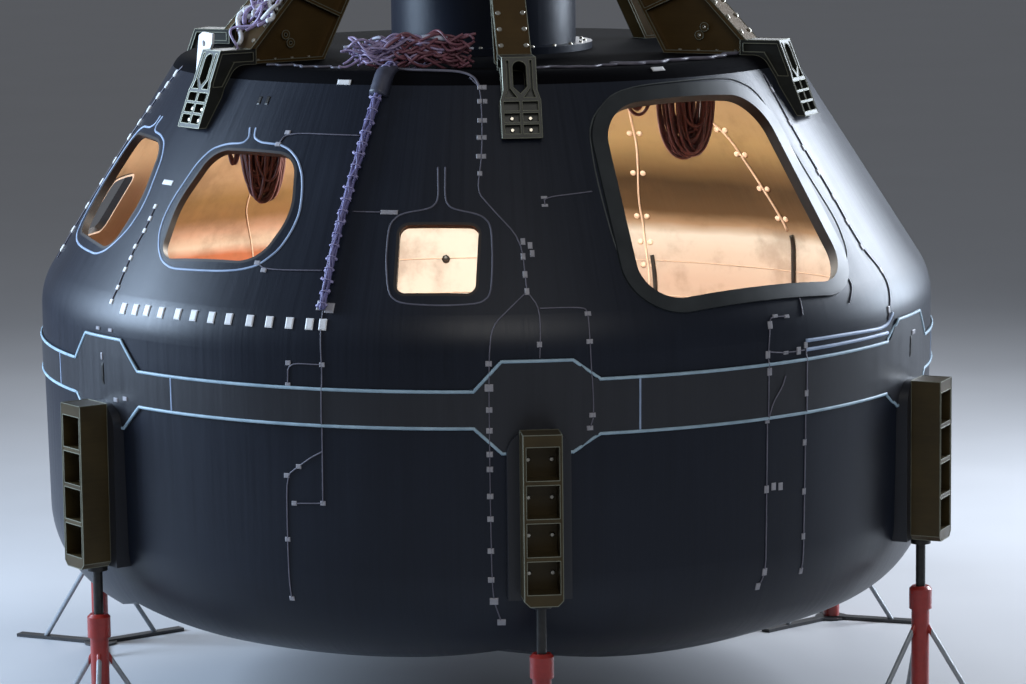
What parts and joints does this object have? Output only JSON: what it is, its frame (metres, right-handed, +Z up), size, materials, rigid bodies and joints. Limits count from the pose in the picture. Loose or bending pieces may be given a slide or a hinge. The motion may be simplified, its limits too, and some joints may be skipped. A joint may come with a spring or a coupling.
{
  "type": "crew capsule pressure shell",
  "caption": "Bare composite crew capsule: cone and barrel shell with lobed floor, open windows and side hatch, docking tunnel with gussets, milled fittings, parked on tripod jack stands.",
  "frame": {"origin": "on the floor, under the capsule's vertical axis", "axes": "+Z up along the axis; +X through the side hatch; -Y between the two larger windows"},
  "size_m": [5.0322, 5.3774, 4.2],
  "materials": {
    "carbon": "bare carbon composite, satin, fine weave",
    "carbon_belt": "carbon composite strap, matt",
    "primer": "dark greenish primer, satin",
    "pale_alloy": "pale olive conversion coat, machined",
    "chromate_alloy": "olive gold conversion coat, machined",
    "red_paint": "gloss red paint, worn",
    "black_steel": "black oxide steel",
    "cable": "laced bundle of insulated wires"
  },
  "bodies": {
    "root": {"backbone": "carbon", "cable_coil_hatch": "cable", "cable_coil_window": "cable", "ceiling": "carbon", "ceiling_cables": "carbon", "docking_tunnel": "carbon", "fitting_seats": "carbon_belt", "gusset_1": "chromate_alloy", "gusset_2": "chromate_alloy", "gusset_3": "chromate_alloy", "gusset_4": "chromate_alloy", "gusset_5": "chromate_alloy", "gusset_6": "chromate_alloy", "hatch_frame": "primer", "jack_screw_1": "black_steel", "jack_screw_2": "black_steel", "jack_screw_3": "black_steel", "jack_screw_4": "black_steel", "jack_screw_5": "black_steel", "jack_screw_6": "black_steel", "jack_stand_1": "red_paint", "jack_stand_2": "red_paint", "jack_stand_3": "red_paint", "jack_stand_4": "red_paint", "jack_stand_5": "red_paint", "jack_stand_6": "red_paint", "lower_fitting_1": "chromate_alloy", "lower_fitting_2": "chromate_alloy", "lower_fitting_3": "chromate_alloy", "lower_fitting_4": "chromate_alloy", "lower_fitting_5": "chromate_alloy", "lower_fitting_6": "chromate_alloy", "lower_shell": "carbon", "main_harness": "cable", "small_window_frame_left": "carbon_belt", "small_window_frame_right": "carbon_belt", "splice_belt": "carbon_belt", "upper_fitting_1": "pale_alloy", "upper_fitting_2": "pale_alloy", "upper_fitting_3": "pale_alloy", "upper_fitting_4": "pale_alloy", "upper_fitting_5": "pale_alloy", "upper_fitting_6": "pale_alloy", "upper_shell": "carbon", "window_frame_left": "carbon_belt", "window_frame_right": "carbon_belt"}
  },
  "joints": []
}
